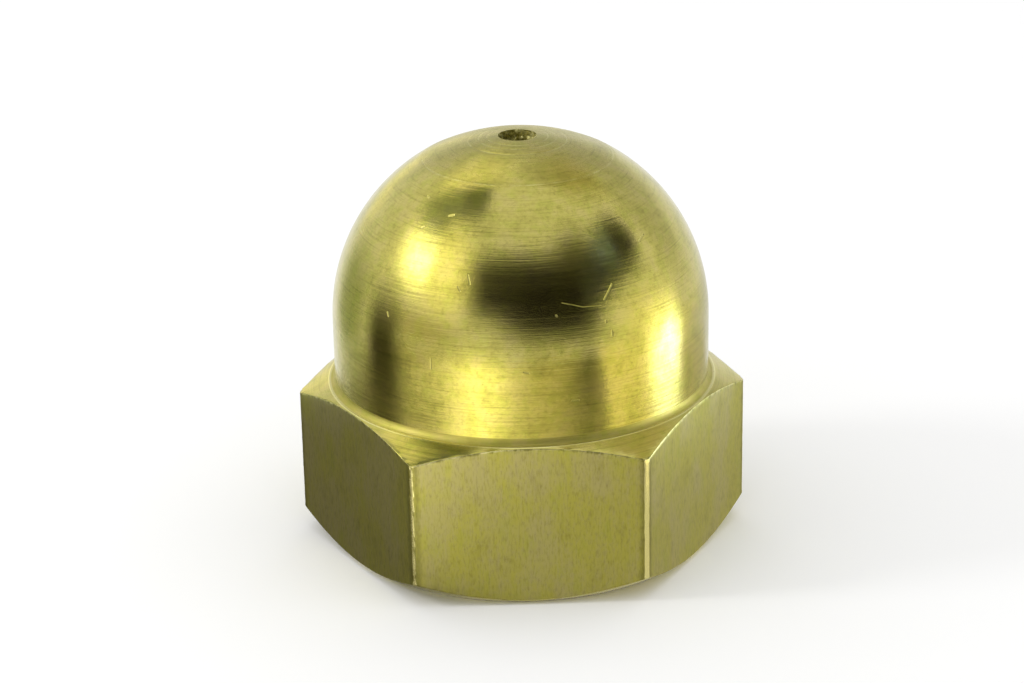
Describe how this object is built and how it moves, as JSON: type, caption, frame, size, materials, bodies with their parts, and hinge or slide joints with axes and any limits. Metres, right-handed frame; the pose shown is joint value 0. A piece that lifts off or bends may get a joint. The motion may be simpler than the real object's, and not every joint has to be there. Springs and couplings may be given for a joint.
{
  "type": "cap nut",
  "caption": "Brass domed cap nut turned from hexagonal bar, with a round dome over a chamfered hexagon and a blind threaded hole in its bearing face.",
  "frame": {"origin": "centre of the bearing face, on the thread's axis", "axes": "+Z along the thread's axis towards the dome; two corners of the hexagon lie on the X axis and one flat faces -Y"},
  "size_m": [0.015, 0.013, 0.0138],
  "materials": {
    "brass": "turned and bright on the dome and chamfers, dull and lightly grained on the drawn flats"
  },
  "bodies": {
    "root": {"cap_nut": "brass"}
  },
  "joints": []
}
